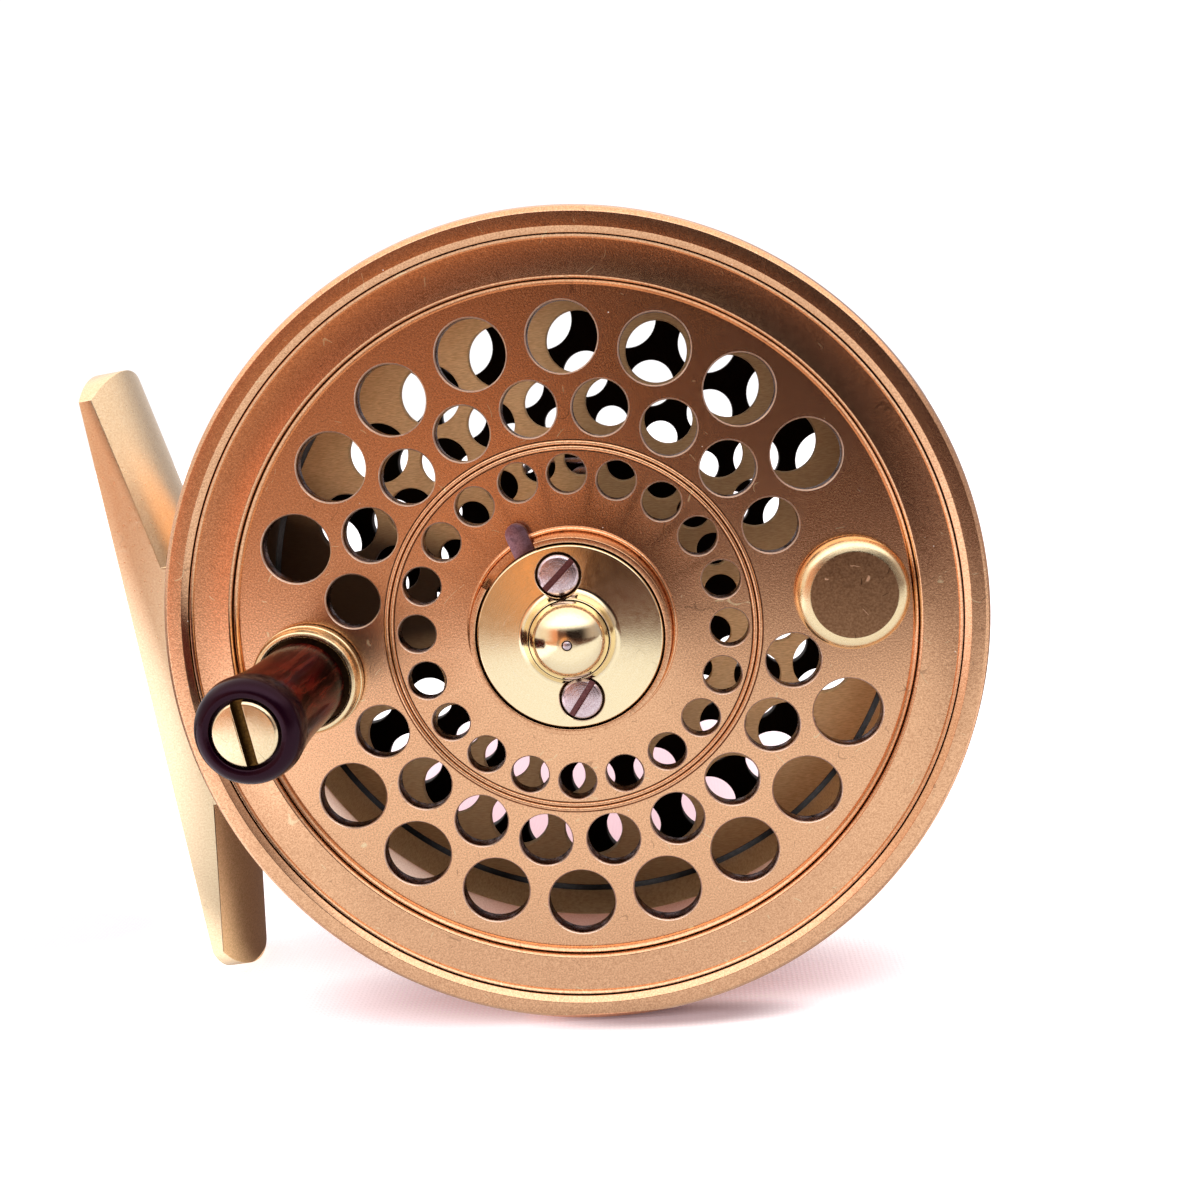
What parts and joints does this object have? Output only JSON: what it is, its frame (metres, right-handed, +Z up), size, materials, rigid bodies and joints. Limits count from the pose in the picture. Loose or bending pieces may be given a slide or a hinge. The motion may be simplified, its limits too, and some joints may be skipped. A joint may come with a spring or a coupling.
{
  "type": "fly reel",
  "caption": "Single-action fly reel with a perforated latch-release spool, wooden handle, open cage frame, click pawl and a standard reel foot.",
  "frame": {"origin": "on the ground plane under the middle of the bounding box, with the spindle level", "axes": "+X to the right and away from the reel foot, +Y along the spindle from the handle side to the back plate, +Z up"},
  "size_m": [0.0896, 0.0542, 0.0793],
  "materials": {
    "bronze_anodised": "satin anodised bronze",
    "gold_satin": "bead-blasted satin gold",
    "gold_polished": "turned and polished gold",
    "brass": "polished",
    "steel": "turned stainless steel",
    "latch_steel": "brushed",
    "wood": "varnished dark hardwood"
  },
  "bodies": {
    "frame": {"back_plate": "bronze_anodised", "front_ring": "bronze_anodised", "foot_bar": "bronze_anodised", "reel_foot": "gold_satin", "spindle": "steel", "spindle_nut": "brass", "pawl_post": "steel", "pawl_spring": "steel", "pillar_1": "bronze_anodised", "pillar_2": "bronze_anodised", "pillar_3": "bronze_anodised", "pillar_screw_1": "steel", "pillar_screw_2": "steel", "pillar_screw_3": "steel", "bar_screw_1": "steel", "bar_screw_2": "steel", "foot_screw_1": "steel", "foot_screw_2": "steel", "spindle_screw_1": "steel", "spindle_screw_2": "steel", "spindle_screw_3": "steel", "spring_post_1": "steel", "spring_post_2": "steel"},
    "spool_assembly": {"spool": "bronze_anodised", "front_bush": "brass", "rear_bush": "brass", "ratchet_wheel": "steel", "counterweight": "gold_satin", "handle_boss": "gold_satin", "handle_screw": "brass", "latch_cover": "gold_polished", "cover_screw_1": "steel", "cover_screw_2": "steel", "oil_plug": "steel", "latch_pivot": "steel", "latch_spring": "steel", "ratchet_screw_1": "steel", "ratchet_screw_2": "steel", "ratchet_screw_3": "steel"},
    "handle": {"handle_grip": "wood"},
    "latch": {"latch_lever": "latch_steel"},
    "pawl": {"click_pawl": "steel"}
  },
  "joints": [
    {"name": "spool_spin", "type": "hinge", "parent": "frame", "child": "spool_assembly", "pos_m": [0.00531, -0.0067, 0.03963], "axis": [0, -1, 0], "continuous": true},
    {"name": "handle_spin", "type": "hinge", "parent": "spool_assembly", "child": "handle", "pos_m": [-0.02096, -0.0067, 0.03701], "axis": [0, -1, 0], "continuous": true},
    {"name": "latch_swing", "type": "hinge", "parent": "spool_assembly", "child": "latch", "pos_m": [0.00907, -0.0067, 0.03458], "axis": [0, -1, 0], "range_deg": [0, 13], "stiffness_Nm_per_rad": 0.05, "springref_deg": -5.73},
    {"name": "pawl_rock", "type": "hinge", "parent": "frame", "child": "pawl", "pos_m": [0.00598, -0.0067, 0.05202], "axis": [0, -1, 0], "range_deg": [-15, 15], "stiffness_Nm_per_rad": 0.02}
  ]
}
